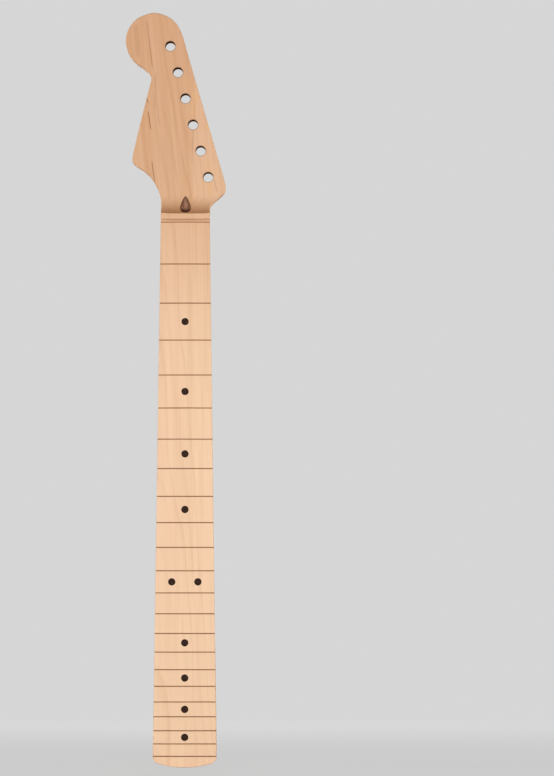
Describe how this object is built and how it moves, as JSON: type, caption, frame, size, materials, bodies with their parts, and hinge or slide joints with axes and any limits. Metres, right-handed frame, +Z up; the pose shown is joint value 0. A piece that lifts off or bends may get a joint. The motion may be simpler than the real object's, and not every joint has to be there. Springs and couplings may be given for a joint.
{
  "type": "electric guitar neck",
  "caption": "One-piece maple electric guitar neck with reversed headstock, slotted fingerboard, dots, walnut back stripe and a truss rod turned by a side adjuster.",
  "frame": {"origin": "on the flat back of the heel, in the middle of the four bolt holes", "axes": "+Z up the neck to the headstock, -Y out of the fingerboard, +Y out of the heel's back, +X to the side of the tuner holes"},
  "size_m": [0.088, 0.0254, 0.6618],
  "materials": {
    "maple": "bare sanded maple, pale and slightly pink, with fine grain along the neck",
    "walnut": "bare sanded walnut, brown with darker grain",
    "dot": "black inlay, sanded flush",
    "steel": "dull machined steel",
    "dark_steel": "blackened steel",
    "brass": "machined brass"
  },
  "bodies": {
    "neck": {"maple_neck": "maple", "back_stripe": "walnut", "headstock_plug": "walnut", "rod_bar": "steel", "rod_head_block": "steel", "rod_heel_block": "steel", "adjuster_housing": "steel", "face_dot_fret_3": "dot", "face_dot_fret_5": "dot", "face_dot_fret_7": "dot", "face_dot_fret_9": "dot", "face_dot_fret_15": "dot", "face_dot_fret_17": "dot", "face_dot_fret_19": "dot", "face_dot_fret_21": "dot", "face_dot_fret_12_left": "dot", "face_dot_fret_12_right": "dot", "side_dot_fret_3": "dot", "side_dot_fret_5": "dot", "side_dot_fret_7": "dot", "side_dot_fret_9": "dot", "side_dot_fret_15": "dot", "side_dot_fret_17": "dot", "side_dot_fret_19": "dot", "side_dot_fret_21": "dot", "side_dot_fret_12_lower": "dot", "side_dot_fret_12_upper": "dot"},
    "rod": {"adjusting_rod": "dark_steel", "adjuster_wheel": "brass"},
    "worm": {"adjuster_worm": "dark_steel"}
  },
  "joints": [
    {"name": "rod_turn", "type": "hinge", "parent": "neck", "child": "rod", "pos_m": [0, -0.01188, 0.0224], "axis": [0, 0, 1], "range_deg": [-180, 180]},
    {"name": "worm_turn", "type": "hinge", "parent": "neck", "child": "worm", "pos_m": [0, -0.01639, 0.0224], "axis": [1, 0, 0], "range_deg": [-2160, 2160]}
  ],
  "couplings": [
    {"joint": "worm_turn", "follows": "rod_turn", "ratio": -12}
  ]
}
